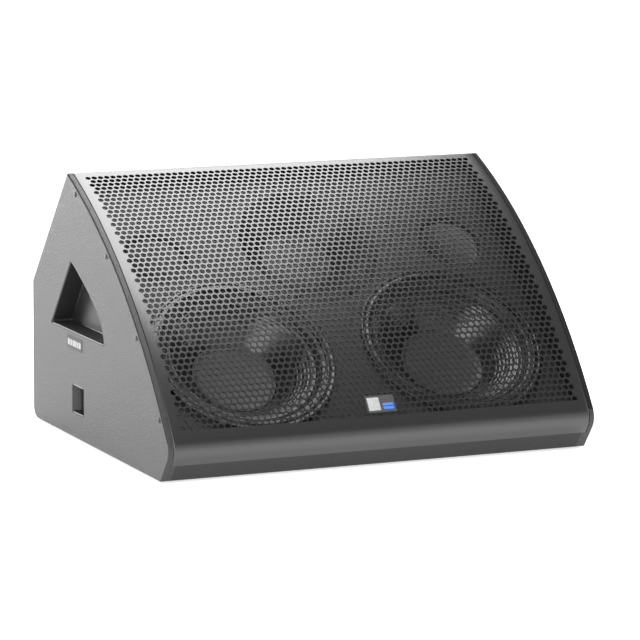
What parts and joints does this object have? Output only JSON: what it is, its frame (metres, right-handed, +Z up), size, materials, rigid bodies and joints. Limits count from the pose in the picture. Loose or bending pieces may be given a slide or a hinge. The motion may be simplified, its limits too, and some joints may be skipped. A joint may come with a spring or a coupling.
{
  "type": "stage monitor wedge",
  "caption": "Low floor wedge loudspeaker with a curved perforated grille, two woofers, a round horn, ports, side handle pockets and a powered rear module.",
  "frame": {"origin": "on the floor under the middle of the cabinet's bounding box", "axes": "+X to the right seen from the front, +Y to the back, +Z up; the grille faces -Y and up"},
  "size_m": [0.7562, 0.622, 0.4418],
  "materials": {
    "cabinet_paint": "textured black paint on birch plywood",
    "baffle_paint": "matt black paint on plywood",
    "raw_wood": "bare softwood",
    "grille_paint": "satin black powder coat on perforated steel",
    "screw_black": "black oxide",
    "foam": "open-cell foam strip",
    "badge": "anodised",
    "label": "printed film, blank",
    "liner_plastic": "moulded, fine grain",
    "basket_metal": "black painted casting",
    "gasket_rubber": "cork rubber ring",
    "surround_cloth": "doped cloth",
    "cone_paper": "coated ribbed paper",
    "cap_paper": "felted paper",
    "coil_copper": "enamelled wire on a former",
    "motor_steel": "zinc-plated steel",
    "terminal_plastic": "moulded",
    "horn_plastic": "satin moulded composite",
    "screen_mesh": "acoustic mesh",
    "dome_metal": "thin foil dome",
    "tray_metal": "powder coat",
    "heatsink_metal": "black anodised",
    "circuit_board": "glass-fibre board",
    "copper_core": "wound core",
    "socket_metal": "black die-cast shell",
    "latch_plastic": "moulded",
    "socket_blue": "moulded",
    "socket_grey": "moulded",
    "led_lens": "clear tinted lens",
    "foot_rubber": "moulded rubber",
    "lead_jacket": "flexible jacket"
  },
  "bodies": {
    "cabinet": {"amp_board": "circuit_board", "amp_chassis": "tray_metal", "amp_heatsink": "heatsink_metal", "amp_screws": "screw_black", "amp_tray": "tray_metal", "audio_input": "socket_metal", "audio_loop": "socket_metal", "back_panel": "cabinet_paint", "badge": "badge", "baffle": "baffle_paint", "battens": "raw_wood", "bottom_panel": "cabinet_paint", "compression_driver": "motor_steel", "driver_cap": "motor_steel", "foot_screws": "screw_black", "grille": "grille_paint", "grille_foam": "foam", "grille_screws": "screw_black", "handle_cup_left": "liner_plastic", "handle_cup_right": "liner_plastic", "horn": "horn_plastic", "horn_screws": "screw_black", "label_plate": "label", "nose_panel": "cabinet_paint", "nose_rail": "baffle_paint", "port_tube_left": "horn_plastic", "port_tube_right": "horn_plastic", "power_inlet": "socket_blue", "power_loop": "socket_grey", "power_transformer": "copper_core", "rubber_feet": "foot_rubber", "side_panel_left": "cabinet_paint", "side_panel_right": "cabinet_paint", "side_recess_left": "liner_plastic", "side_recess_right": "liner_plastic", "slope_panel": "cabinet_paint", "speaker_leads": "lead_jacket", "status_leds": "led_lens", "throat_screen": "screen_mesh", "woofer_basket_left": "basket_metal", "woofer_basket_right": "basket_metal", "woofer_gasket_left": "gasket_rubber", "woofer_gasket_right": "gasket_rubber", "woofer_motor_left": "motor_steel", "woofer_motor_right": "motor_steel", "woofer_screws": "screw_black", "woofer_spider_left": "surround_cloth", "woofer_spider_right": "surround_cloth", "woofer_surround_left": "surround_cloth", "woofer_surround_right": "surround_cloth", "woofer_terminals": "terminal_plastic"},
    "left_cone": {"woofer_cone_left": "cone_paper", "woofer_dust_cap_left": "cap_paper", "woofer_voice_coil_left": "coil_copper"},
    "right_cone": {"woofer_cone_right": "cone_paper", "woofer_dust_cap_right": "cap_paper", "woofer_voice_coil_right": "coil_copper"},
    "hf_dome": {"hf_diaphragm": "dome_metal"},
    "latch": {"latch_tab": "latch_plastic"}
  },
  "joints": [
    {"name": "left_cone_travel", "type": "slide", "parent": "cabinet", "child": "left_cone", "axis": [0, -0.6454, 0.7639], "range_m": [-0.006, 0.006], "stiffness_N_per_m": 7000, "deforming": ["woofer_surround_left", "woofer_spider_left"]},
    {"name": "right_cone_travel", "type": "slide", "parent": "cabinet", "child": "right_cone", "axis": [0, -0.6454, 0.7639], "range_m": [-0.006, 0.006], "stiffness_N_per_m": 7000, "deforming": ["woofer_surround_right", "woofer_spider_right"]},
    {"name": "hf_dome_travel", "type": "slide", "parent": "cabinet", "child": "hf_dome", "axis": [0, -0.6454, 0.7639], "range_m": [-0.0004, 0.0004], "stiffness_N_per_m": 1500},
    {"name": "latch_press", "type": "slide", "parent": "cabinet", "child": "latch", "axis": [0, -1, 0], "range_m": [0, 0.0015], "stiffness_N_per_m": 800}
  ]
}
